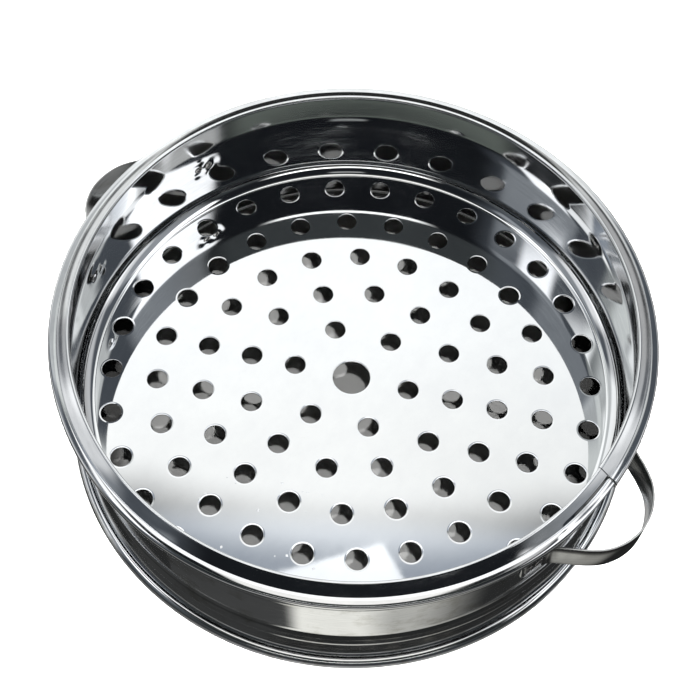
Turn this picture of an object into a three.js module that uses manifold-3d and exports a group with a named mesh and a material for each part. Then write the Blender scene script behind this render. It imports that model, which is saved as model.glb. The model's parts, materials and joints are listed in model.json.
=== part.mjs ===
// Stainless steel steamer tier: a rolled sheet wall with a rolled rim and a
// flared skirt, a perforated tray sprung in above the wall's bead, and two
// strip handles spot-welded to the outside.
// Millimetres, +Z up. Origin: centre of the tier, on the plane it stands on.
// The handles lie on +X (right) and -X (left).
import * as THREE from 'three';
import { mergeVertices } from 'three/addons/utils/BufferGeometryUtils.js';
import Module from 'manifold-3d';

const wasm = await Module();
wasm.setup();

// ---------------------------------------------------------------- dimensions
const SEGMENTS = 64;            // sides of every turned piece
const SHEET = 0.6;              // wall sheet thickness
const TRAY_SHEET = 0.6;         // tray sheet thickness
const STRIP = 1.0;              // handle strip thickness
const FIT = 0.3;                // clearance between pieces that touch

const WALL_R = 130.3;           // middle of the wall sheet
const CREASE = [[130.3, 60.0], [129.467, 67.5]]; // the wall leans in above this bend
const LIP = [[127.21, 81.1], [127.2, 82.15], [128.36, 82.66], [129.0, 82.4]]; // crest of the rim
const FLANGE_FOOT = [132.8, 80.4]; // the flange slopes down from the lip to here
const RIM_FLAT_Z = 80.5;        // flattened top of the rim's roll
const RIM_ROLL = [[133.8, RIM_FLAT_Z], [135.4, RIM_FLAT_Z], [136.4, 79.6], [136.76, 77.8], [136.4, 75.6], [135.0, 74.7], [133.6, 75.5]];

const BASE_ROLL_R = 135.35;     // centre of the base's rolled edge
const BASE_ROLL = 2.0;
const BASE_STEP = 36;           // degrees between the corners of the base roll
const BASE_ROLL_Z = BASE_ROLL * Math.cos(THREE.MathUtils.degToRad(BASE_STEP / 2)) + SHEET / 2;

const TRAY_TOP = 23.1;          // top face of the tray
const TRAY_FLAT_R = 124.0;      // edge of the tray's flat
// its upturned edge, on the upper face: radius, turned up to so many degrees, steps
const TRAY_EDGE = [[4.4, 33, 3], [22.0, 43, 2]];
const HOLE_R = 5.0;             // steam holes
const HOLE_SIDES = 10;
const CENTRE_HOLE_R = 9.1;      // large hole in the middle
const CENTRE_SIDES = 16;
// rings of holes: radius, count, angle of the first hole in degrees
const RINGS = [
  [28.4, 6, 22.23],
  [50.4, 12, 22.34],
  [72.4, 18, 2.29],
  [94.5, 24, 7.29],
  [116.9, 30, 10.23],
];

const HANDLE_LOW = { right: 40.4, left: 44.4 }; // lower edge of each handle's strip
const HANDLE_WIDTH = 16.8;      // width of the strip, upright
const FOOT_END = 21.0;          // degrees from the handle's middle to the end of a foot
const FOOT_BEND = 15.6;         // degrees at which the strip leaves the wall
const FOOT_R = WALL_R + SHEET / 2 + FIT + STRIP / 2; // middle of the strip in the foot
// half of the loop, middle of the strip: distance from the tier's axis, distance from the handle's middle
const LOOP = [
  [127.55, 34.1], [129.1, 32.0], [134.4, 28.7], [141.7, 24.3], [148.0, 19.1], [152.4, 12.2], [154.7, 4.6],
];

const WELD_R = 2.2;             // radius of a weld nugget
const WELD_SIDES = 12;
const WELD_Z = { right: 48.8, left: 52.8 }; // height of the welds in each handle's feet
const WELD_AT = [16.9, 19.5];   // degrees from the handle's middle

// ------------------------------------------------------------------- finish
const steel = (color, roughness) => new THREE.MeshStandardMaterial({ color, roughness, metalness: 1.0 });

// ------------------------------------------------------------------ helpers
const rad = THREE.MathUtils.degToRad;

function solid(geometry) {
  const g = geometry.clone();
  g.deleteAttribute('normal');
  g.deleteAttribute('uv');
  const merged = mergeVertices(g.index ? g.toNonIndexed() : g, 1e-4);
  return new wasm.Manifold(new wasm.Mesh({
    numProp: 3,
    vertProperties: new Float32Array(merged.attributes.position.array),
    triVerts: new Uint32Array(merged.index.array),
  }));
}

function geometryOf(manifold) {
  const mesh = manifold.getMesh();
  const g = new THREE.BufferGeometry();
  g.setAttribute('position', new THREE.BufferAttribute(new Float32Array(mesh.vertProperties), 3));
  g.setIndex(new THREE.BufferAttribute(new Uint32Array(mesh.triVerts), 1));
  g.computeVertexNormals();
  return g;
}

// a closed ring-shaped profile, [radius, height], turned about the Z axis
function turned(points) {
  let area = 0;
  for (let i = 0; i < points.length; i++) {
    const [a, b] = points[i], [c, d] = points[(i + 1) % points.length];
    area += a * d - c * b;
  }
  const ring = area > 0 ? points : [...points].reverse();
  const profile = [...ring, ring[0]].map(([r, z]) => new THREE.Vector2(r, z));
  const g = new THREE.LatheGeometry(profile, SEGMENTS);
  g.rotateX(Math.PI / 2);
  return g;
}

// both sides of a line of points, half a thickness away, as one closed outline
function thicken(line, thickness) {
  const left = [], right = [];
  const n = line.length;
  for (let i = 0; i < n; i++) {
    const p = line[i];
    const a = i > 0 ? line[i - 1] : p, b = i < n - 1 ? line[i + 1] : p;
    const d1 = i > 0 ? unit(p[0] - a[0], p[1] - a[1]) : unit(b[0] - p[0], b[1] - p[1]);
    const d2 = i < n - 1 ? unit(b[0] - p[0], b[1] - p[1]) : d1;
    const nx = -(d1[1] + d2[1]), ny = d1[0] + d2[0];
    const m = unit(nx, ny);
    const c = m[0] * -d1[1] + m[1] * d1[0];
    const k = thickness / 2 / Math.max(c, 0.5);
    left.push([p[0] + m[0] * k, p[1] + m[1] * k]);
    right.push([p[0] - m[0] * k, p[1] - m[1] * k]);
  }
  return [...left, ...right.reverse()];
}

function unit(x, y) {
  const l = Math.hypot(x, y);
  return [x / l, y / l];
}

const around = (cr, cz, r, degrees) => [cr + r * Math.cos(rad(degrees)), cz + r * Math.sin(rad(degrees))];

// a short bar lying along a radius of the tier, at an angle and a height
function radialBar(radius, sides, from, to, degrees, z) {
  const g = new THREE.CylinderGeometry(radius, radius, to - from, sides);
  g.rotateZ(-Math.PI / 2);
  g.translate((from + to) / 2, 0, 0);
  g.rotateZ(rad(degrees));
  g.translate(0, 0, z);
  return g;
}

// ---------------------------------------------------------------- side wall
// middle of the sheet, from the end of the base roll to the end of the rim roll
const wallLine = [];
for (let a = 108 + 360; a >= 180; a -= BASE_STEP) {
  wallLine.push(around(BASE_ROLL_R, BASE_ROLL_Z, BASE_ROLL, a));
}
wallLine.push(
  [132.6, 7.4], [131.55, 14.2], // skirt
  [131.5, 16.4], [131.7, 19.6], [131.0, 23.3], // bead
  [WALL_R, 27.3],
  ...CREASE, ...LIP, FLANGE_FOOT, ...RIM_ROLL,
);
let wall = solid(turned(thicken(wallLine, SHEET)));

// ----------------------------------------------------------- perforated tray
const plate = new THREE.Shape();
const plateR = TRAY_FLAT_R - 0.4;
for (let i = 0; i < SEGMENTS; i++) {
  const a = (i / SEGMENTS) * 2 * Math.PI;
  const x = plateR * Math.cos(a), y = plateR * Math.sin(a);
  if (i === 0) plate.moveTo(x, y); else plate.lineTo(x, y);
}
plate.closePath();
function punch(cx, cy, r, sides, turn) {
  const hole = new THREE.Path();
  for (let i = 0; i < sides; i++) {
    const a = turn - (i / sides) * 2 * Math.PI;
    const x = cx + r * Math.cos(a), y = cy + r * Math.sin(a);
    if (i === 0) hole.moveTo(x, y); else hole.lineTo(x, y);
  }
  hole.closePath();
  plate.holes.push(hole);
}
punch(0, 0, CENTRE_HOLE_R, CENTRE_SIDES, 0);
for (const [radius, count, first] of RINGS) {
  for (let i = 0; i < count; i++) {
    const a = rad(first + (360 * i) / count);
    punch(radius * Math.cos(a), radius * Math.sin(a), HOLE_R, HOLE_SIDES, a);
  }
}
const plateGeometry = new THREE.ExtrudeGeometry(plate, { depth: TRAY_SHEET, bevelEnabled: false });
plateGeometry.translate(0, 0, TRAY_TOP - TRAY_SHEET);
const edgeTop = [[TRAY_FLAT_R - 1.0, TRAY_TOP]], edgeUnder = [[TRAY_FLAT_R - 1.0, TRAY_TOP - TRAY_SHEET]];
let edgeR = TRAY_FLAT_R, edgeZ = TRAY_TOP, edgeFrom = 0;
for (const [radius, turn, steps] of TRAY_EDGE) {
  const startR = edgeR, startZ = edgeZ, s = rad(edgeFrom);
  for (let i = edgeFrom === 0 ? 0 : 1; i <= steps; i++) {
    const a = rad(edgeFrom + ((turn - edgeFrom) * i) / steps);
    edgeR = startR + radius * (Math.sin(a) - Math.sin(s));
    edgeZ = startZ + radius * (Math.cos(s) - Math.cos(a));
    edgeTop.push([edgeR, edgeZ]);
    edgeUnder.push([edgeR + TRAY_SHEET * Math.sin(a), edgeZ - TRAY_SHEET * Math.cos(a)]);
  }
  edgeFrom = turn;
}
const trayEdge = turned([...edgeUnder, ...edgeTop.reverse()]);
const tray = solid(plateGeometry).add(solid(trayEdge));

// ------------------------------------------------------------------ handles
function handleLine() {
  const half = [];
  const steps = 3;
  for (let i = 0; i <= steps; i++) {
    const a = rad(FOOT_END + ((FOOT_BEND - FOOT_END) * i) / steps);
    half.push([FOOT_R * Math.cos(a), FOOT_R * Math.sin(a)]);
  }
  const curve = new THREE.CatmullRomCurve3(
    [...LOOP, ...[...LOOP].reverse().map(([x, y]) => [x, -y])].map(([x, y]) => new THREE.Vector3(x, y, 0)),
    false, 'centripetal');
  const loop = curve.getPoints(30).map((p) => [p.x, p.y]);
  return [...half, ...loop, ...half.map(([x, y]) => [x, -y]).reverse()];
}
const strip = new THREE.Shape(thicken(handleLine(), STRIP).map(([x, y]) => new THREE.Vector2(x, y)));
const stripGeometry = new THREE.ExtrudeGeometry(strip, { depth: HANDLE_WIDTH, bevelEnabled: false });

const welds = [];
let right = solid(stripGeometry.clone().translate(0, 0, HANDLE_LOW.right));
let left = solid(stripGeometry.clone().rotateZ(Math.PI).translate(0, 0, HANDLE_LOW.left));
const inner = WALL_R - SHEET / 2 - 0.15, outer = FOOT_R + STRIP / 2 + 0.1;
for (const [side, turn] of [['right', 0], ['left', 180]]) {
  for (const end of [-1, 1]) {
    WELD_AT.forEach((at, i) => {
      const degrees = turn + end * at;
      const where = Math.sin(rad(degrees)) > 0 ? 'rear' : 'front';
      const z = WELD_Z[side];
      const bore = solid(radialBar(WELD_R + FIT, WELD_SIDES, inner - 3, outer + 3, degrees, z));
      wall = wall.subtract(bore);
      if (side === 'right') right = right.subtract(bore); else left = left.subtract(bore);
      welds.push([`spot_weld_${side}_${where}_${i + 1}`, radialBar(WELD_R, WELD_SIDES, inner, outer, degrees, z)]);
    });
  }
}

// ----------------------------------------------------------------- assembly
const tier = new THREE.Group();
tier.name = 'steamer_tier';
function piece(name, geometry, material) {
  const mesh = new THREE.Mesh(geometry, material);
  mesh.name = name;
  tier.add(mesh);
}
piece('side_wall', geometryOf(wall), steel(0xc9ccce, 0.12));
piece('perforated_tray', geometryOf(tray), steel(0xd6d8da, 0.08));
piece('handle_right', geometryOf(right), steel(0xbfc2c4, 0.15));
piece('handle_left', geometryOf(left), steel(0xbfc2c4, 0.15));
for (const [name, geometry] of welds) piece(name, geometry, steel(0xb4b6b8, 0.3));

export default tier;
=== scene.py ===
import json
import math
import random

import bmesh
import bpy
from mathutils import Matrix, Vector, noise
from mathutils.geometry import delaunay_2d_cdt


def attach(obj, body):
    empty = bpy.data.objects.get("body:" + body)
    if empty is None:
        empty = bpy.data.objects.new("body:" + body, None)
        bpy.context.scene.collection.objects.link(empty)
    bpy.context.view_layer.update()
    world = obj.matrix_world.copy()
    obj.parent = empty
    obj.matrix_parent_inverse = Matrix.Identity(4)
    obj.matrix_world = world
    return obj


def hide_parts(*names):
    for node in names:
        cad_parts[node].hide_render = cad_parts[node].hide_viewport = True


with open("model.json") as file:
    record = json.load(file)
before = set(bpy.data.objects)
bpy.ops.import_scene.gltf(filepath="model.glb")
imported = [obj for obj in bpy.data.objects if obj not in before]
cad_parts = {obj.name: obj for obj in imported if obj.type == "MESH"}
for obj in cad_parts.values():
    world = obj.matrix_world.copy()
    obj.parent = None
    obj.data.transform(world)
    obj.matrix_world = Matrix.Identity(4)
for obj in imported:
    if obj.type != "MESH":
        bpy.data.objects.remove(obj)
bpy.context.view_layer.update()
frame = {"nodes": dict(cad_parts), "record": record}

MM = 0.001
TURN = math.radians(33.0)        # the picture's right-hand direction lies 33 degrees below +X

# ------------------------------------------------------------------ dimensions, in mm
SHEET = 0.6
STRIP = 1.0
WALL_R = 130.3
RIM_R, RIM_Z, RIM_ROLL = 134.35, 78.0, 2.15
BASE_R, BASE_Z, BASE_ROLL = 135.35, 2.3, 2.0
SEAM_AT = -0.7                   # degrees; the wall strip's outer end
TRAY_TOP, TRAY_SHEET = 23.1, 0.6
FLAT_R = 124.0
EDGE = [(4.4, 33.0, 12), (22.0, 43.0, 6)]      # the tray's upturned edge: radius, turned to so many degrees, steps
HOLE_R, CENTRE_HOLE_R = 5.0, 9.1
RINGS = [(28.4, 6, 22.23), (50.4, 12, 22.34), (72.4, 18, 2.29), (94.5, 24, 7.29), (116.9, 30, 10.23)]
HANDLE_LOW, HANDLE_WIDTH = {"right": 40.4, "left": 44.4}, 16.8
FOOT_END, FOOT_BEND, FOOT_R = 21.0, 15.6, 131.4
LOOP = [(127.55, 34.1), (129.1, 32.0), (134.4, 28.7), (141.7, 24.3), (148.0, 19.1), (152.4, 12.2), (154.7, 4.6)]
WELD_R = 2.2
WELD_Z = {"right": 48.8, "left": 52.8}
WELD_AT = (16.9, 19.5)


# ------------------------------------------------------------------ mesh helpers
def mesh_object(name, verts, faces, normals=None, smooth=True):
    mesh = bpy.data.meshes.new(name)
    mesh.from_pydata([tuple(c * MM for c in v) for v in verts], [], faces)
    mesh.validate()
    if normals is None:
        bm = bmesh.new()
        bm.from_mesh(mesh)
        bmesh.ops.recalc_face_normals(bm, faces=bm.faces)
        bm.to_mesh(mesh)
        bm.free()
    mesh.polygons.foreach_set("use_smooth", [smooth] * len(mesh.polygons))
    if normals is not None:
        mesh.normals_split_custom_set_from_vertices(normals)
    mesh.update()
    obj = bpy.data.objects.new(name, mesh)
    bpy.context.scene.collection.objects.link(obj)
    return obj


def around(cr, cz, r, degrees):
    a = math.radians(degrees)
    return (cr + r * math.cos(a), cz + r * math.sin(a))


def spline(points, per=8, closed=False):
    """Centripetal Catmull-Rom through the points."""
    pts = [Vector(p) for p in points]
    pts = [pts[0] * 2 - pts[1]] + pts + [pts[-1] * 2 - pts[-2]]
    out = []
    for i in range(1, len(pts) - 2):
        p0, p1, p2, p3 = pts[i - 1], pts[i], pts[i + 1], pts[i + 2]
        t0 = 0.0
        t1 = t0 + max((p1 - p0).length, 1e-6) ** 0.5
        t2 = t1 + max((p2 - p1).length, 1e-6) ** 0.5
        t3 = t2 + max((p3 - p2).length, 1e-6) ** 0.5
        for k in range(per):
            t = t1 + (t2 - t1) * k / per
            a1 = p0 * ((t1 - t) / (t1 - t0)) + p1 * ((t - t0) / (t1 - t0))
            a2 = p1 * ((t2 - t) / (t2 - t1)) + p2 * ((t - t1) / (t2 - t1))
            a3 = p2 * ((t3 - t) / (t3 - t2)) + p3 * ((t - t2) / (t3 - t2))
            b1 = a1 * ((t2 - t) / (t2 - t0)) + a2 * ((t - t0) / (t2 - t0))
            b2 = a2 * ((t3 - t) / (t3 - t1)) + a3 * ((t - t1) / (t3 - t1))
            out.append(tuple(b1 * ((t2 - t) / (t2 - t1)) + b2 * ((t - t1) / (t2 - t1))))
    out.append(tuple(pts[-2]))
    return out


def side_normals(line):
    """Unit normals on the left of a line of points."""
    out = []
    n = len(line)
    for i in range(n):
        a, b = line[max(i - 1, 0)], line[min(i + 1, n - 1)]
        dx, dy = b[0] - a[0], b[1] - a[1]
        l = math.hypot(dx, dy) or 1.0
        out.append((-dy / l, dx / l))
    return out


def step(a, b, x):
    t = min(1.0, max(0.0, (x - a) / (b - a)))
    return t * t * (3 - 2 * t)


# ------------------------------------------------------------------ side wall
line = spline([(134.0, 4.42), (134.4, 4.4), (134.8, 4.33), (135.25, 4.21), (135.7, 4.03), (136.2, 3.72), (136.7, 3.28), (137.08, 2.8),
               (137.28, 2.35), around(BASE_R, BASE_Z, BASE_ROLL, 350)], 4)[:-1]
line += [around(BASE_R, BASE_Z, BASE_ROLL, a) for a in range(350, 184, -9)]
line += spline([around(BASE_R, BASE_Z, BASE_ROLL, 180), (133.25, 5.2), (132.87, 7.8), (132.34, 11.2), (131.88, 14.2),
                (131.62, 15.9), (131.5, 16.7), (131.47, 17.2), (131.55, 17.6), (131.7, 18.0), (131.76, 18.25), (131.74, 18.5),
                (131.57, 19.6), (131.31, 21.3), (131.0, 23.3), (130.52, 25.2), (WALL_R, 27.3), (WALL_R, 29.6)], 6)[:-1]
line += [(WALL_R, 29.6 + 0.8 * i) for i in range(35)]
line += [(WALL_R - (0.5 * i) ** 2 / 120.0, 57.5 + 0.5 * i) for i in range(20)]
line += [(129.467 - 0.1667 * 1.2 * i, 67.5 + 1.2 * i) for i in range(11)]
line += spline([(127.21, 81.1), (127.12, 81.7), (127.16, 82.1), (127.34, 82.42), (127.62, 82.57), (127.92, 82.59), (128.15, 82.52),
                (128.4, 82.4)], 4)[:-1]
dish = [(128.4 + 0.45 * i, 82.4 - 0.527 * 0.45 * i - 0.0345 * (1 - (0.2 * i - 1) ** 2)) for i in range(11)]
line += spline(dish + [(133.12, 79.97), (133.45, 79.95), (134.2, 79.86), (135.1, 79.65), (135.85, 79.43), (136.3, 79.2), (136.58, 78.85),
                       (136.72, 78.35), (136.76, 77.7), (136.7, 76.6), (136.4, 75.6), (135.8, 74.95), (135.0, 74.7), (134.2, 74.9),
                       (133.6, 75.5), (133.3, 76.3)], 4)

WELDS = []
for side, turn in (("right", 0.0), ("left", 180.0)):
    for end in (-1, 1):
        for i, at in enumerate(WELD_AT):
            degrees = turn + end * at
            where = "rear" if math.sin(math.radians(degrees)) > 0 else "front"
            WELDS.append((side, where, i + 1, degrees, WELD_Z[side]))

rng = random.Random(11)
DENTS = []                       # degrees, height, depth, spread: the sheet is pulled about by the welding
for side, where, i, degrees, z in WELDS:
    DENTS.append((degrees, z, 0.34, 1.5))
    DENTS.append((degrees, z, -0.26, 2.9))
    for k in range(4):
        DENTS.append((degrees + rng.uniform(-2.0, 2.0), z + rng.uniform(-4.5, 4.5),
                      rng.choice((-1, 1)) * rng.uniform(0.08, 0.2), rng.uniform(1.2, 2.6)))
    DENTS.append((degrees + rng.uniform(-2.5, 2.5), z - rng.uniform(5.0, 9.0), rng.uniform(-0.12, 0.12), 5.0))


def dent(degrees, z):
    d = 0.0
    for a, h, depth, spread in DENTS:
        da = (degrees - a + 180.0) % 360.0 - 180.0
        if abs(da) > 9.0:
            continue
        u = math.radians(da) * WALL_R
        q = (u * u + (z - h) ** 2) / (2 * spread * spread)
        if q < 9:
            d += depth * math.exp(-q)
    return d


def wall():
    normals = side_normals(line)
    shift = []
    for (r, z), (nr, nz) in zip(line, normals):
        roll = step(131.5, 133.0, r) * step(70.0, 74.0, z)
        shift.append(0.32 + 0.68 * roll)
    h = SHEET / 2

    def outline(lap):
        left, right = [], []
        for (r, z), (nr, nz), s in zip(line, normals, shift):
            r, z = r - nr * s * lap, z - nz * s * lap
            score = 0.14 * math.exp(-((z - 56.7) / 0.55) ** 2)
            left.append((r + nr * h, z + nz * h))
            right.append((r - nr * (h - score), z - nz * (h - score)))
        return left + right[::-1]

    plain, lapped = outline(0.0), outline(1.0)
    n = len(plain)
    angles = [SEAM_AT + 360.0 * i / 288 for i in range(1, 288)]
    for a in sorted({round(w[3], 2) for w in WELDS}):
        angles += [(a + 0.22 * k - SEAM_AT) % 360.0 + SEAM_AT for k in range(-15, 16)]
    angles += [SEAM_AT + d for d in (0.06, 0.2, 0.5)] + [SEAM_AT + 360.0 - d for d in (0.06, 0.15, 0.3, 0.6)]
    angles = sorted(angles)
    keep = [angles[0]]
    for a in angles[1:]:
        if a - keep[-1] > 0.05:
            keep.append(a)
    columns = [(SEAM_AT, 0.0)] + [(a, step(-16.0, -4.0, a - SEAM_AT - 360.0)) for a in keep] + [(SEAM_AT + 360.0, 1.0)]
    verts, faces = [], []
    for a, w in columns:
        c, s = math.cos(math.radians(a)), math.sin(math.radians(a))
        for (r0, z0), (r1, z1) in zip(plain, lapped):
            r, z = r0 + (r1 - r0) * w, z0 + (z1 - z0) * w
            if 34.0 < z < 66.0 and r < 133.0:
                r += dent(a, z)
            wave = noise.noise(Vector((c * 3.1, s * 3.1, z * 0.03))) * 0.05
            if 30.0 < z < 72.0:
                r += wave * step(30.0, 38.0, z) * (1 - step(64.0, 72.0, z))
            verts.append((r * c, r * s, z))
    m = len(columns)
    for j in range(m):
        k = (j + 1) % m
        for i in range(n):
            l = (i + 1) % n
            faces.append((j * n + i, j * n + l, k * n + l, k * n + i))
    return mesh_object("wall_sheet", verts, faces)


# ------------------------------------------------------------------ perforated tray
def tray():
    sides, big = 40, 72
    holes = [(0.0, 0.0, CENTRE_HOLE_R, big)]
    for radius, count, first in RINGS:
        for i in range(count):
            a = math.radians(first + 360.0 * i / count)
            holes.append((radius * math.cos(a), radius * math.sin(a), HOLE_R, sides))
    # the sheet dips into each punched hole: distance outside the edge, depth, upward share of the normal
    lipped = [(0.95, 0.0, 1.0), (0.7, 0.008, 0.9985), (0.45, 0.026, 0.9962), (0.2, 0.05, 0.994), (0.08, 0.07, 0.95),
              (0.02, 0.11, 0.6), (0.0, 0.17, 0.0), (0.0, 0.66, 0.0)]
    under = [(0.12, 0.7, -0.7), (0.5, 0.62, -0.98), (0.95, TRAY_SHEET, -1.0)]
    verts, normals, faces = [], [], []
    flat_r = FLAT_R

    def ring(cx, cy, r, z, count, up, outward):
        start = len(verts)
        side = math.sqrt(max(0.0, 1 - up * up)) * outward
        for i in range(count):
            a = 2 * math.pi * i / count
            c, s = math.cos(a), math.sin(a)
            verts.append((cx + r * c, cy + r * s, z))
            normals.append((c * side, s * side, up))
        return start

    def bridge(a, b, count, flip):
        for i in range(count):
            j = (i + 1) % count
            q = (a + i, a + j, b + j, b + i)
            faces.append(q[::-1] if flip else q)

    rim_n = 288
    top_rings, low_rings = [], []
    for cx, cy, r, count in holes:
        prev = None
        for out, depth, up in lipped:
            s = ring(cx, cy, r + out, TRAY_TOP - depth, count, up, -1)
            if prev is None:
                top_rings.append((s, count))
            else:
                bridge(prev, s, count, False)
            prev = s
        for out, depth, up in under:
            s = ring(cx, cy, r + out, TRAY_TOP - depth, count, up, -1)
            bridge(prev, s, count, False)
            prev = s
        low_rings.append((prev, count))
    # outer edge: turned up in a round corner against the wall
    edge, inner = [], []
    path, start = [(flat_r, 0.0, 0.0)], 0.0
    for radius, turn, steps in EDGE:
        r0, z0 = path[-1][:2]
        s0 = math.radians(start)
        for k in range(1, steps + 1):
            a = math.radians(start + (turn - start) * k / steps)
            path.append((r0 + radius * (math.sin(a) - math.sin(s0)), z0 - radius * (math.cos(s0) - math.cos(a)), a))
        start = turn
    for r, depth, a in path:
        edge.append((r, depth, a))
        inner.append((r + TRAY_SHEET * math.sin(a), depth + TRAY_SHEET * math.cos(a), a))
    inner = inner[::-1]
    prev = None
    for r, depth, a in edge:
        s = ring(0, 0, r, TRAY_TOP - depth, rim_n, math.cos(a), -1 if a > 0 else 1)
        if prev is None:
            top_rim = s
        else:
            bridge(prev, s, rim_n, True)
        prev = s
    for r, depth, a in inner:
        s = ring(0, 0, r, TRAY_TOP - depth, rim_n, -math.cos(a), 1 if a > 0 else -1)
        bridge(prev, s, rim_n, True)
        prev = s
    low_rim = prev
    # flat faces
    for rim, rings, flip in ((top_rim, top_rings, False), (low_rim, low_rings, True)):
        ids = list(range(rim, rim + rim_n))
        edges = [(i, (i + 1) % rim_n) for i in range(rim_n)]
        for s, count in rings:
            base = len(ids)
            ids += range(s, s + count)
            edges += [(base + i, base + (i + 1) % count) for i in range(count)]
        flat = [Vector(verts[i][:2]) for i in ids]
        _, _, tris, origin, _, _ = delaunay_2d_cdt(flat, edges, [], 0, 1e-6)
        centres = [(cx, cy, r) for cx, cy, r, _ in holes]
        for t in tris:
            t = [origin[i][0] for i in t]
            mid = sum((flat[i] for i in t), Vector((0, 0))) / 3
            if mid.length > flat_r or any((mid.x - cx) ** 2 + (mid.y - cy) ** 2 < (r + 0.93) ** 2 and
                                          all((flat[i].x - cx) ** 2 + (flat[i].y - cy) ** 2 < (r + 0.97) ** 2 for i in t)
                                          for cx, cy, r in centres):
                continue
            a, b, c = (flat[i] for i in t)
            ccw = (b - a).cross(c - a) > 0
            tri = tuple(ids[i] for i in t)
            faces.append(tri if ccw != flip else tri[::-1])
    return mesh_object("tray_plate", verts, faces, normals)


# ------------------------------------------------------------------ handles
def handle(name, turn, low):
    half = [(FOOT_R * math.cos(math.radians(FOOT_END + (FOOT_BEND - FOOT_END) * i / 10)),
             FOOT_R * math.sin(math.radians(FOOT_END + (FOOT_BEND - FOOT_END) * i / 10))) for i in range(11)]
    loop = spline(LOOP + [(x, -y) for x, y in LOOP[::-1]], 8)
    path = half + loop + [(x, -y) for x, y in half[::-1]]
    normals = side_normals(path)
    travel = [0.0]
    for a, b in zip(path, path[1:]):
        travel.append(travel[-1] + math.hypot(b[0] - a[0], b[1] - a[1]))
    bevel, corner = 0.3, 4.2
    t = STRIP / 2
    verts, faces = [], []
    section = None
    ca, sa = math.cos(math.radians(turn)), math.sin(math.radians(turn))
    for (x, y), (nx, ny), s in zip(path, normals, travel):
        d = min(s, travel[-1] - s)
        cut = corner - math.sqrt(max(0.0, corner ** 2 - (corner - d) ** 2)) if d < corner else 0.0
        lo, hi = low + cut, low + HANDLE_WIDTH - cut
        ring = []
        for cz, ct, a0 in ((hi - bevel, t - bevel, 0), (hi - bevel, -t + bevel, 90), (lo + bevel, -t + bevel, 180),
                           (lo + bevel, t - bevel, 270)):
            for k in range(4):
                a = math.radians(a0 + 30 * k)
                ring.append((ct + bevel * math.cos(a), cz + bevel * math.sin(a)))
        section = len(ring)
        for o, z in ring:
            px, py = x + nx * o, y + ny * o
            verts.append((px * ca - py * sa, px * sa + py * ca, z))
    for j in range(len(path) - 1):
        for i in range(section):
            l = (i + 1) % section
            faces.append((j * section + i, j * section + l, (j + 1) * section + l, (j + 1) * section + i))
    faces.append(tuple(range(section))[::-1])
    faces.append(tuple((len(path) - 1) * section + i for i in range(section)))
    obj = mesh_object(name, verts, faces)
    obj.data.set_sharp_from_angle(angle=math.radians(50))
    return obj


# ------------------------------------------------------------------ spot welds
def weld(name, degrees, z, seed):
    """A squeezed weld: a dished face on the foot outside and a ringed dimple on the wall inside."""
    r = random.Random(seed)
    count = 28
    profile = [(0.0, 129.93), (0.7, 129.90), (1.25, 129.74), (1.6, 129.66), (1.9, 129.74), (WELD_R, 129.98), (WELD_R, 131.7),
               (WELD_R - 0.1, 131.95), (1.85, 132.06), (1.55, 132.03), (1.1, 131.88), (0.5, 131.82), (0.0, 131.81)]
    verts, faces = [], []
    ca, sa = math.cos(math.radians(degrees)), math.sin(math.radians(degrees))
    phase = [r.uniform(0, 6.28) for _ in range(3)]
    rings = []
    for q, at in profile:
        if q == 0.0:
            rings.append([len(verts)])
            verts.append((at * ca, at * sa, z))
            continue
        row = []
        for i in range(count):
            a = 2 * math.pi * i / count
            k = 1 + 0.08 * math.sin(2 * a + phase[0]) + 0.05 * math.sin(3 * a + phase[1])
            lift = 0.07 * math.sin(a + phase[2]) * (q / WELD_R) if at < 130.5 else 0.0
            u, v = q * k * math.cos(a), q * k * math.sin(a)
            d = at + lift
            row.append(len(verts))
            verts.append((d * ca - u * sa, d * sa + u * ca, z + v))
        rings.append(row)
    for a, b in zip(rings, rings[1:]):
        for i in range(count):
            j = (i + 1) % count
            if len(a) == 1:
                faces.append((a[0], b[j], b[i]))
            elif len(b) == 1:
                faces.append((a[i], a[j], b[0]))
            else:
                faces.append((a[i], a[j], b[j], b[i]))
    return mesh_object(name, verts, faces)


# ------------------------------------------------------------------ node helpers
class Tree:
    def __init__(self, tree):
        self.t = tree
        self.t.nodes.clear()

    def add(self, kind, *inputs, **settings):
        n = self.t.nodes.new(kind)
        for k, v in settings.items():
            setattr(n, k, v)
        for i, v in enumerate(inputs):
            self.put(n.inputs[i], v)
        return n

    def put(self, socket, v):
        if v is None:
            return
        if isinstance(v, bpy.types.NodeSocket):
            self.t.links.new(v, socket)
        elif isinstance(v, bpy.types.Node):
            self.t.links.new(v.outputs[0], socket)
        else:
            socket.default_value = v

    def math(self, op, a, b=None, c=None):
        return self.add("ShaderNodeMath", a, b, c, operation=op).outputs[0]

    def ramp(self, x, a, b, lo=0.0, hi=1.0):
        n = self.add("ShaderNodeMapRange", x, a, b, lo, hi, interpolation_type="SMOOTHSTEP", clamp=True)
        return n.outputs[0]

    def window(self, x, a, b, soft):
        up = self.ramp(x, a - soft / 2, a + soft / 2)
        down = self.ramp(x, b - soft / 2, b + soft / 2, 1.0, 0.0)
        return self.math("MULTIPLY", up, down)

    def scaled(self, colour, x):
        n = self.t.nodes.new("ShaderNodeVectorMath")
        n.operation = "SCALE"
        n.inputs[0].default_value = colour
        self.put(n.inputs[3], x)
        return n.outputs[0]

    def total(self, parts):
        s = parts[0]
        for p in parts[1:]:
            s = self.add("ShaderNodeVectorMath", s, p, operation="ADD").outputs[0]
        return s


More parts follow.
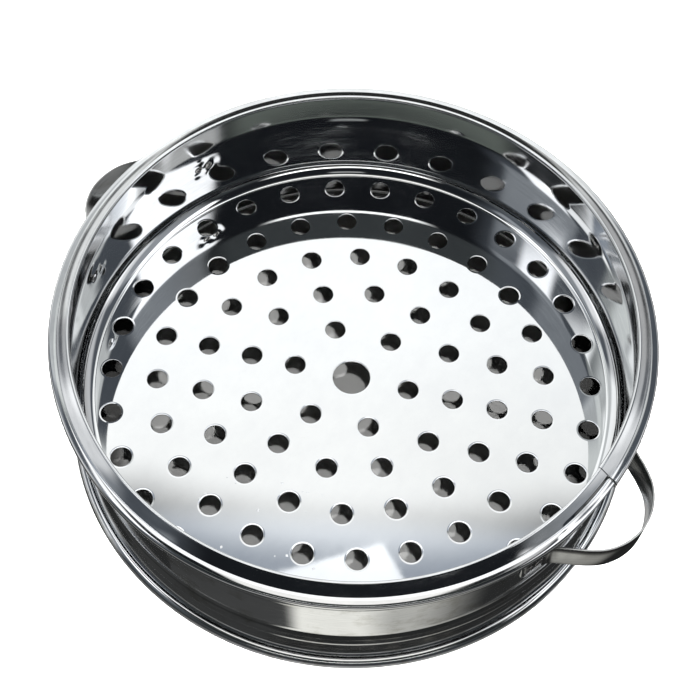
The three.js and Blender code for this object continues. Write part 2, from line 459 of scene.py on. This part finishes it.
# ------------------------------------------------------------------ steel
def steel(name, dark, light, rough, streak, wave=0.25, specks=False, upward_highlight=None, grain=0.012, stained=False):
    """Polished stainless: faint mottling, fine rubbing marks, and a slightly uneven surface."""
    mat = bpy.data.materials.new(name)
    mat.use_nodes = True
    t = Tree(mat.node_tree)
    out = t.add("ShaderNodeOutputMaterial")
    bsdf = t.add("ShaderNodeBsdfPrincipled")
    bsdf.inputs["Metallic"].default_value = 1.0
    co = t.add("ShaderNodeTexCoord").outputs["Object"]
    stretched = t.add("ShaderNodeMapping", co)
    stretched.inputs["Scale"].default_value = streak
    marks = t.add("ShaderNodeTexNoise", stretched.outputs[0])
    marks.inputs["Scale"].default_value = 1.0
    marks.inputs["Detail"].default_value = 5.0
    marks.inputs["Roughness"].default_value = 0.62
    cloud = t.add("ShaderNodeTexNoise", co)
    cloud.inputs["Scale"].default_value = 32.0
    cloud.inputs["Detail"].default_value = 4.0
    mix = t.math("ADD", t.math("MULTIPLY", marks.outputs[0], 0.5), t.math("MULTIPLY", cloud.outputs[0], 0.5))
    ramp = t.add("ShaderNodeValToRGB", mix)
    ramp.color_ramp.elements[0].position, ramp.color_ramp.elements[0].color = 0.36, (*dark, 1)
    ramp.color_ramp.elements[1].position, ramp.color_ramp.elements[1].color = 0.64, (*light, 1)
    roughness = t.ramp(mix, 0.35, 0.66, rough[0], rough[1])
    wavy = t.add("ShaderNodeTexNoise", co)
    wavy.inputs["Scale"].default_value = 46.0
    wavy.inputs["Detail"].default_value = 1.5
    height = t.math("ADD", t.math("MULTIPLY", wavy.outputs[0], wave), t.math("MULTIPLY", marks.outputs[0], grain))
    if specks:
        # small nicks, thickest on one side of the tray's front
        cells = t.add("ShaderNodeTexVoronoi", co)
        cells.inputs["Scale"].default_value = 240.0
        near = t.add("ShaderNodeVectorMath", co, specks, operation="DISTANCE").outputs["Value"]
        patchy = t.add("ShaderNodeTexNoise", co)
        patchy.inputs["Scale"].default_value = 110.0
        where = t.math("MULTIPLY", t.ramp(near, 0.012, 0.05, 1.0, 0.0), t.ramp(patchy.outputs[0], 0.52, 0.6))
        nick = t.math("MULTIPLY", t.ramp(cells.outputs["Distance"], 0.10, 0.17, 1.0, 0.0), where)
        roughness = t.math("ADD", roughness, t.math("MULTIPLY", nick, 0.4))
        height = t.math("ADD", height, t.math("MULTIPLY", nick, 0.5))
    bump = t.add("ShaderNodeBump")
    bump.inputs["Strength"].default_value = 0.35
    bump.inputs["Distance"].default_value = 0.0004
    t.put(bump.inputs["Height"], height)
    tint = ramp.outputs[0]
    if upward_highlight:
        # painted highlight: faces that look up get a lighter base colour, standing in for the bright reflection along
        # upper edges
        up = t.add("ShaderNodeSeparateXYZ", t.add("ShaderNodeNewGeometry").outputs["Normal"]).outputs["Z"]
        tint = t.add("ShaderNodeMix", data_type="RGBA")
        t.put(tint.inputs[0], t.ramp(up, 0.45, 0.8))
        t.put(tint.inputs[6], ramp.outputs[0])
        tint.inputs[7].default_value = (*upward_highlight, 1)
        tint = tint.outputs[2]
    if stained:
        # water marks on the outside only
        facing = t.add("ShaderNodeVectorMath", t.add("ShaderNodeNewGeometry").outputs["Normal"], co, operation="DOT_PRODUCT").outputs["Value"]
        marked = t.add("ShaderNodeTexNoise", co)
        marked.inputs["Scale"].default_value = 70.0
        marked.inputs["Detail"].default_value = 7.0
        marked.inputs["Roughness"].default_value = 0.6
        tall = t.add("ShaderNodeSeparateXYZ", co).outputs["Z"]
        stain = t.math("MULTIPLY", t.ramp(facing, 0.05, 0.09), t.ramp(marked.outputs[0], 0.48, 0.7))
        stain = t.math("MULTIPLY", stain, t.ramp(tall, 0.060, 0.066, 1.0, 0.0))
        tint_b = t.add("ShaderNodeMix", data_type="RGBA", blend_type="MULTIPLY")
        t.put(tint_b.inputs[0], stain)
        t.put(tint_b.inputs[6], tint)
        tint_b.inputs[7].default_value = (0.72, 0.71, 0.67, 1)
        tint = tint_b.outputs[2]
        roughness = t.math("ADD", roughness, t.math("MULTIPLY", stain, 0.06))
    t.put(bsdf.inputs["Base Color"], tint)
    t.put(bsdf.inputs["Roughness"], roughness)
    t.put(bsdf.inputs["Normal"], bump.outputs[0])
    t.put(out.inputs["Surface"], bsdf.outputs[0])
    return mat


def turned(x, y, z=0.0):
    """A point given by the picture's right, away and up directions, in the row frame."""
    return (x * math.cos(TURN) - y * math.sin(TURN), x * math.sin(TURN) + y * math.cos(TURN), z)


WALL_STEEL = steel("wall_steel", (0.62, 0.63, 0.64), (0.74, 0.75, 0.755), (0.035, 0.09), (90.0, 90.0, 900.0), 0.1, grain=0.004, stained=True)
TRAY_STEEL = steel("tray_steel", (0.735, 0.745, 0.755), (0.775, 0.785, 0.79), (0.02, 0.04), (120.0, 90.0, 90.0), 0.05,
                   Vector(turned(-0.032, -0.092, 0.0231)))
# painted shade: the handle steel gets a far darker base colour than the wall steel, standing in for the dark
# reflections on the handles; its up-facing faces get a painted highlight
SHADED_HANDLE_STEEL = steel("handle_steel", (0.25, 0.255, 0.255), (0.40, 0.40, 0.395), (0.09, 0.18), (60.0, 60.0, 1200.0), upward_highlight=(0.52, 0.52, 0.51))
WELD_STEEL = steel("weld_steel", (0.42, 0.40, 0.37), (0.68, 0.68, 0.68), (0.12, 0.32), (400.0, 400.0, 400.0), 0.5)


def settle(obj, mat, slot, *nodes):
    obj.data.materials.append(mat)
    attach(obj, "root")
    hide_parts(*nodes)


settle(wall(), WALL_STEEL, "wall_steel", "side_wall")
settle(tray(), TRAY_STEEL, "tray_steel", "perforated_tray")
settle(handle("handle_strip_right", 0.0, HANDLE_LOW["right"]), SHADED_HANDLE_STEEL, "handle_steel", "handle_right")
settle(handle("handle_strip_left", 180.0, HANDLE_LOW["left"]), SHADED_HANDLE_STEEL, "handle_steel", "handle_left")
for n, (side, where, i, degrees, z) in enumerate(WELDS):
    settle(weld(f"weld_{side}_{where}_{i}", degrees, z, n), WELD_STEEL, "weld_steel", f"spot_weld_{side}_{where}_{i}")
slots = {s["node"]: s["material_slot"] for s in frame["record"]["subparts"]}
finish_of = {"wall_steel": WALL_STEEL, "tray_steel": TRAY_STEEL, "handle_steel": SHADED_HANDLE_STEEL, "weld_steel": WELD_STEEL}
for name, obj in frame["nodes"].items():
    obj.data.materials.clear()
    obj.data.materials.append(finish_of[slots[name]])


# ------------------------------------------------------------------ floor
def stage_disc(name, radius, z, colour):
    verts = [(0, 0, z)] + [(radius * math.cos(math.radians(a)), radius * math.sin(math.radians(a)), z) for a in range(0, 360, 5)]
    faces = [(0, i, i % 72 + 1) for i in range(1, 73)]
    mesh = bpy.data.meshes.new(name)
    mesh.from_pydata(verts, [], faces)
    obj = bpy.data.objects.new(name, mesh)
    bpy.context.scene.collection.objects.link(obj)
    mat = bpy.data.materials.new(name)
    mat.use_nodes = True
    bsdf = mat.node_tree.nodes["Principled BSDF"]
    bsdf.inputs["Base Color"].default_value = (*colour, 1)
    bsdf.inputs["Roughness"].default_value = 0.9
    bsdf.inputs["Specular IOR Level"].default_value = 0.0
    mesh.materials.append(mat)
    return obj


floor = stage_disc("floor", 1.7, 0.0, (0.88, 0.88, 0.87))
floor.visible_glossy = False
# painted shade: a dark disc (albedo 0.27 against the floor's 0.88) lies under the tray, standing in for the tray's
# shadow on the floor
inside = stage_disc("under_tray_painted_shade", 0.1328, 0.0002, (0.27, 0.27, 0.265))
# painted shadow: the disc is darker still along its left and right edges, standing in for the shade of the wall
t = Tree(inside.data.materials[0].node_tree)
shade_out = t.add("ShaderNodeOutputMaterial")
shade = t.add("ShaderNodeBsdfDiffuse")
spun = t.add("ShaderNodeMapping", t.add("ShaderNodeTexCoord").outputs["Object"])
spun.inputs["Rotation"].default_value = (0, 0, -TURN)
aside = t.math("ABSOLUTE", t.add("ShaderNodeSeparateXYZ", spun.outputs[0]).outputs["X"])
t.put(shade.inputs["Color"], t.scaled((0.27, 0.27, 0.265), t.ramp(aside, 0.104, 0.115, 1.0, 0.18)))
t.put(shade_out.inputs["Surface"], shade.outputs[0])


# ------------------------------------------------------------------ light
world = bpy.data.worlds.new("studio")
bpy.context.scene.world = world
world.use_nodes = True
t = Tree(world.node_tree)
out = t.add("ShaderNodeOutputWorld")
background = t.add("ShaderNodeBackground")
turn = t.add("ShaderNodeMapping", t.add("ShaderNodeTexCoord").outputs["Generated"])
turn.inputs["Rotation"].default_value = (0, 0, -TURN)
xyz = t.add("ShaderNodeSeparateXYZ", turn.outputs[0])
X, Y, Z = xyz.outputs
to_degrees = 180.0 / math.pi
azimuth = t.math("MULTIPLY", t.math("ARCTAN2", Y, X), to_degrees)
height = t.math("MULTIPLY", t.math("ARCSINE", Z), to_degrees)
bearing = t.math("MULTIPLY", t.math("ARCTAN2", X, Y), to_degrees)      # 0 straight back, 90 to the right
times = lambda *parts: parts[0] if len(parts) == 1 else t.math("MULTIPLY", parts[0], times(*parts[1:]))
above = t.ramp(height, -4.0, 2.0)
below = t.ramp(height, -4.0, 2.0, 1.0, 0.0)
over = t.math("MAXIMUM", Z, 0.05)
U, V = t.math("DIVIDE", X, over), t.math("DIVIDE", Y, over)      # where a ray meets a ceiling
high = t.ramp(Z, 0.3, 0.5)
arch = t.math("SUBTRACT", V, t.math("MULTIPLY", t.math("MINIMUM", t.math("MULTIPLY", U, U), 0.03), 0.9))
panel_top = times(t.ramp(Y, 0.0, 0.05), t.ramp(arch, 0.375, 0.46))
panel = times(t.window(azimuth, 64.0, 117.0, 8.0), panel_top, t.ramp(height, -2.5, -0.5), t.ramp(azimuth, 64.0, 94.0, 0.8, 1.0))
across = t.math("SUBTRACT", t.math("MULTIPLY", t.math("ABSOLUTE", t.math("SUBTRACT", azimuth, 90.5)), 0.55), 14.4)
crease = t.math("SUBTRACT", 1.0, t.math("MULTIPLY", t.window(t.math("SUBTRACT", height, across), -0.9, 0.9, 0.8), 0.85))
wings = times(t.window(azimuth, 58.0, 151.0, 6.0), panel_top, t.ramp(height, -2.5, -0.5), crease)
right_box = times(t.window(azimuth, -28.5, 16.0, 4.0), t.ramp(height, 45.5, 48.0), t.ramp(height, 61.5, 64.5, 1.0, 0.0),
                  t.ramp(t.math("SUBTRACT", height, t.math("MULTIPLY", azimuth, 0.31)), 59.0, 61.0, 1.0, 0.0))
right_mid = times(t.window(azimuth, -27.0, 14.0, 8.0), t.window(height, 35.0, 46.5, 3.0))
right_low = times(t.window(azimuth, -8.0, 16.0, 8.0), t.window(height, 23.0, 35.0, 4.0))
right_streak = times(t.window(azimuth, 6.0, 53.0, 6.0), t.ramp(t.math("SUBTRACT", height, t.math("MULTIPLY", azimuth, 0.13)), 53.0, 54.5),
                     t.ramp(t.math("SUBTRACT", height, t.math("MULTIPLY", azimuth, 0.22)), 54.5, 56.5, 1.0, 0.0), t.ramp(azimuth, 36.0, 50.0, 1.0, 0.45))
right_top = times(t.window(azimuth, -15.0, 34.0, 8.0), t.window(height, 63.0, 67.5, 2.0))
right_grey = times(t.window(azimuth, 42.0, 62.0, 12.0), t.window(height, 52.5, 60.0, 3.0))
left_box = times(t.window(bearing, -107.0, -88.0, 5.0), t.window(height, 53.0, 62.5, 3.0))
left_mid = times(t.window(bearing, -122.0, -84.0, 5.0), t.window(height, 47.0, 53.5, 3.0))
left_wing = times(t.window(bearing, -62.0, -32.0, 6.0), t.window(height, 50.0, 58.0, 3.0))
left_grey = times(t.window(bearing, -103.0, -58.0, 8.0), t.window(height, 38.0, 48.0, 3.0))
left_low = times(t.window(bearing, -100.0, -74.0, 8.0), t.window(height, 24.0, 38.0, 4.0))
left_streak = times(t.window(bearing, -92.0, -54.0, 6.0), t.window(height, 56.0, 62.0, 2.0))
low_ring = times(t.math("ADD", t.window(bearing, 28.0, 93.0, 10.0), t.window(bearing, -106.0, -22.0, 10.0)), t.window(height, -1.0, 29.0, 6.0), crease)
pale_floor = times(t.window(bearing, -80.0, 108.0, 30.0), t.window(height, -44.0, -17.0, 6.0))
back_floor = times(t.window(bearing, -60.0, 30.0, 20.0), t.window(height, -70.0, -44.0, 6.0))
rippling = t.math("ADD", t.math("MULTIPLY", t.math("SINE", t.math("MULTIPLY", azimuth, 3.0 / to_degrees)), 0.3), 0.7)
front_side = t.math("SUBTRACT", 1.0, t.window(bearing, -100.0, 100.0, 16.0))
front_haze = times(front_side, rippling, t.math("ADD", t.window(height, -33.0, -7.0, 5.0), t.math("MULTIPLY", t.window(height, -3.0, 13.0, 5.0), 0.35)))
ceiling = times(high, t.window(V, 0.02, 0.427, 0.03), t.window(U, -0.42, 0.42, 0.1))
top_light = times(t.math("MAXIMUM", t.ramp(V, -0.02, 0.03), t.ramp(height, 73.0, 75.5)), high, t.window(V, -0.27, 0.325, 0.03), t.window(U, -0.42, 0.42, 0.1))
side_blue = times(t.window(bearing, -125.0, 104.0, 20.0), t.window(height, 20.0, 60.0, 8.0))
edge_a = t.ramp(t.math("SUBTRACT", V, t.math("MULTIPLY", U, 0.36)), 0.396, 0.401, 1.0, 0.0)
edge_b = t.ramp(t.math("ADD", V, t.math("MULTIPLY", U, 1.7)), 0.466, 0.474, 1.0, 0.0)
small_box = times(edge_a, edge_b, t.ramp(V, 0.32, 0.33), t.ramp(U, -0.08, -0.06))
front_line = times(t.window(azimuth, -116.0, -54.0, 14.0), t.window(height, 44.6, 47.7, 0.8))
front_dim = times(t.window(azimuth, -150.0, -32.0, 20.0), t.window(height, 22.0, 44.0, 5.0))
front_crown = times(t.window(azimuth, -165.0, -22.0, 20.0), t.ramp(height, 63.8, 65.0), t.ramp(height, 65.6, 68.6, 1.0, 0.0))
front_lens = times(t.window(azimuth, -90.0, -75.0, 4.0), t.window(height, 57.8, 60.8, 1.2))
floor_band = times(t.ramp(azimuth, -118.0, -108.0), t.window(height, -78.0, -57.5, 3.0))
front_floor = times(floor_band, t.ramp(azimuth, -82.0, -60.0, 1.0, 0.0))
front_dusk = times(floor_band, t.ramp(azimuth, -55.0, -12.0, 1.0, 0.0))
left_dusk = times(t.ramp(azimuth, -118.0, -108.0, 1.0, 0.0), t.ramp(height, -77.0, -62.0, 1.0, 0.4), t.ramp(height, -50.0, -40.0, 1.0, 0.0))
colour = t.total([
    t.scaled((0.013, 0.015, 0.018), above),
    t.scaled((0.027, 0.028, 0.028), below),
    t.scaled((0.7, 0.7, 0.695), panel),
    t.scaled((0.52, 0.53, 0.52), wings),
    t.scaled((1.9, 1.9, 1.92), right_box),
    t.scaled((0.24, 0.25, 0.26), right_mid),
    t.scaled((0.75, 0.75, 0.75), right_low),
    t.scaled((1.5, 1.5, 1.5), right_streak),
    t.scaled((0.68, 0.69, 0.67), right_grey),
    t.scaled((0.65, 0.65, 0.64), right_top),
    t.scaled((1.8, 1.8, 1.83), left_box),
    t.scaled((0.24, 0.25, 0.26), left_mid),
    t.scaled((0.32, 0.33, 0.31), left_wing),
    t.scaled((0.2, 0.21, 0.22), left_grey),
    t.scaled((0.8, 0.8, 0.8), left_low),
    t.scaled((1.4, 1.4, 1.4), left_streak),
    t.scaled((0.52, 0.52, 0.52), low_ring),
    t.scaled((0.6, 0.6, 0.6), pale_floor),
    t.scaled((0.5, 0.5, 0.5), back_floor),
    t.scaled((0.62, 0.62, 0.61), front_haze),
    t.scaled((0.36, 0.40, 0.46), ceiling),
    t.scaled((1.3, 1.28, 1.24), top_light),
    t.scaled((0.085, 0.095, 0.11), side_blue),
    t.scaled((0.9, 0.9, 0.88), small_box),
    t.scaled((2.6, 2.6, 2.55), front_line),
    t.scaled((0.05, 0.055, 0.055), front_dim),
    t.scaled((0.17, 0.19, 0.165), front_crown),
    t.scaled((0.42, 0.43, 0.42), front_lens),
    t.scaled((0.5, 0.495, 0.46), front_floor),
    t.scaled((0.53, 0.525, 0.49), front_dusk),
    t.scaled((0.05, 0.05, 0.05), left_dusk),
])
path = t.add("ShaderNodeLightPath")
plain = t.add("ShaderNodeBackground")
plain.inputs["Color"].default_value = (0.9, 0.9, 0.9, 1)
dim = t.add("ShaderNodeBackground")
dim.inputs["Color"].default_value = (0.05, 0.05, 0.05, 1)
t.put(background.inputs["Color"], colour)
lit = t.add("ShaderNodeMixShader", path.outputs["Is Diffuse Ray"], background.outputs[0], dim.outputs[0])
shown = t.add("ShaderNodeMixShader", path.outputs["Is Camera Ray"], lit.outputs[0], plain.outputs[0])
t.put(out.inputs["Surface"], shown.outputs[0])


def lamp(name, place, size, power):
    data = bpy.data.lights.new(name, "AREA")
    data.shape = "DISK"
    data.size = size
    data.energy = power
    obj = bpy.data.objects.new(name, data)
    obj.location = place
    obj.rotation_mode = "QUATERNION"
    obj.rotation_quaternion = (-Vector(place)).to_track_quat("-Z", "Y")
    obj.visible_camera = False
    obj.visible_glossy = False
    bpy.context.scene.collection.objects.link(obj)
    return obj


for k in range(8):
    a = math.radians(45.0 * k)
    lamp(f"side_{k}", turned(2.0 * math.cos(a), 2.0 * math.sin(a), 0.42), 0.5, 90.0)
lamp("back_lamp", turned(-0.09, 0.45, 1.04), 0.05, 14.0)
lamp("front_lamp", turned(0.09, -0.29, 1.08), 0.05, 10.5)

# ------------------------------------------------------------------ camera
PX = 0.487 * MM                  # one picture unit
FOCAL, ELEVATION, DISTANCE = 1259.0, math.radians(60.26), 1264.0
ROLL, PAN, TILT = math.radians(3.22), math.radians(0.14), math.radians(-1.24)
looking = Matrix((Vector((1, 0, 0)), Vector((0, -math.sin(ELEVATION), -math.cos(ELEVATION))),
                  Vector((0, math.cos(ELEVATION), -math.sin(ELEVATION)))))
rz = Matrix(((math.cos(ROLL), -math.sin(ROLL), 0), (math.sin(ROLL), math.cos(ROLL), 0), (0, 0, 1)))
rx = Matrix(((1, 0, 0), (0, math.cos(TILT), -math.sin(TILT)), (0, math.sin(TILT), math.cos(TILT))))
ry = Matrix(((math.cos(PAN), 0, math.sin(PAN)), (0, 1, 0), (-math.sin(PAN), 0, math.cos(PAN))))
axes = rz @ rx @ ry @ looking
columns = [Vector(turned(*v)) for v in (axes[0], -axes[1], -axes[2])]
place = Vector(turned(0.0, -DISTANCE * math.cos(ELEVATION) * PX, DISTANCE * math.sin(ELEVATION) * PX + TRAY_TOP * MM))
data = bpy.data.cameras.new("camera")
data.sensor_width = 36.0
data.lens = FOCAL / 700.0 * 36.0
data.clip_start, data.clip_end = 0.01, 50.0
camera = bpy.data.objects.new("camera", data)
camera.matrix_world = Matrix.Translation(place) @ Matrix(columns).transposed().to_4x4()
bpy.context.scene.collection.objects.link(camera)
bpy.context.scene.camera = camera

bpy.context.scene.view_settings.view_transform = "Standard"
bpy.context.scene.view_settings.look = "None"
